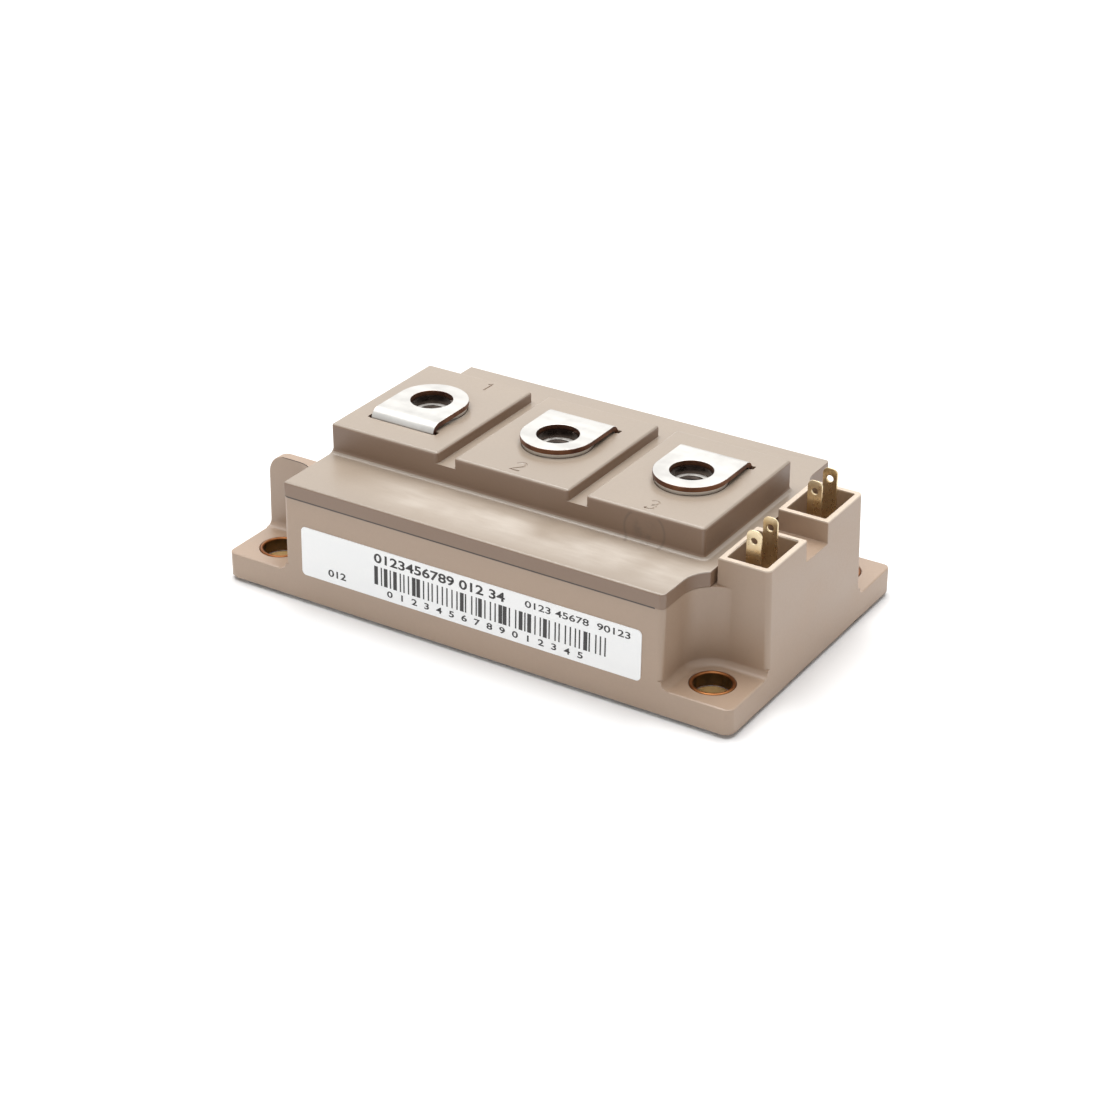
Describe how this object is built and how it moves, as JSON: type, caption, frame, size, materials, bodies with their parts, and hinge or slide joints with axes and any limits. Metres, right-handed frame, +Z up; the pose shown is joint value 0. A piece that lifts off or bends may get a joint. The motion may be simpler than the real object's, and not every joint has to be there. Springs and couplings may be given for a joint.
{
  "type": "igbt module",
  "caption": "Flat power semiconductor module: moulded case on a metal base plate, screw ears, stepped lid with bent screw terminals and a tower with flat control tabs.",
  "frame": {"origin": "centre of the underside of the base plate", "axes": "+X along the length towards the control tower, +Y towards the back, +Z up"},
  "size_m": [0.108, 0.062, 0.0314],
  "materials": {
    "housing": "moulded glass-filled plastic, fine satin",
    "lid": "moulded glass-filled plastic, fine satin",
    "plate": "nickel-plated copper, dull",
    "label": "white printed film",
    "terminal": "nickel-plated copper sheet, satin",
    "nut": "plated steel",
    "bushing": "yellow passivated sleeve",
    "control_tab": "tinned brass sheet, toned",
    "copper": "bare copper",
    "ceramic": "white alumina",
    "chip": "silicon with a metal face",
    "wire": "drawn aluminium wire",
    "gel": "soft clear silicone"
  },
  "bodies": {
    "root": {"base_plate": "plate", "case": "housing", "lid": "lid", "label": "label", "silicone_gel": "gel", "main_terminal_1": "terminal", "main_terminal_2": "terminal", "main_terminal_3": "terminal", "terminal_nut_1": "nut", "terminal_nut_2": "nut", "terminal_nut_3": "nut", "mounting_bushing_1": "bushing", "mounting_bushing_2": "bushing", "mounting_bushing_3": "bushing", "mounting_bushing_4": "bushing", "control_tab_1": "control_tab", "control_tab_2": "control_tab", "control_tab_3": "control_tab", "control_tab_4": "control_tab", "ceramic_1": "ceramic", "ceramic_2": "ceramic", "bottom_copper_1": "copper", "bottom_copper_2": "copper", "top_copper_1": "copper", "top_copper_2": "copper", "power_wires_1": "wire", "power_wires_2": "wire", "gate_wires_1": "wire", "gate_wires_2": "wire", "bridge_wires": "wire", "igbt_chip_1": "chip", "igbt_chip_2": "chip", "igbt_chip_3": "chip", "igbt_chip_4": "chip", "diode_chip_1": "chip", "diode_chip_2": "chip", "diode_chip_3": "chip", "diode_chip_4": "chip"}
  },
  "joints": []
}
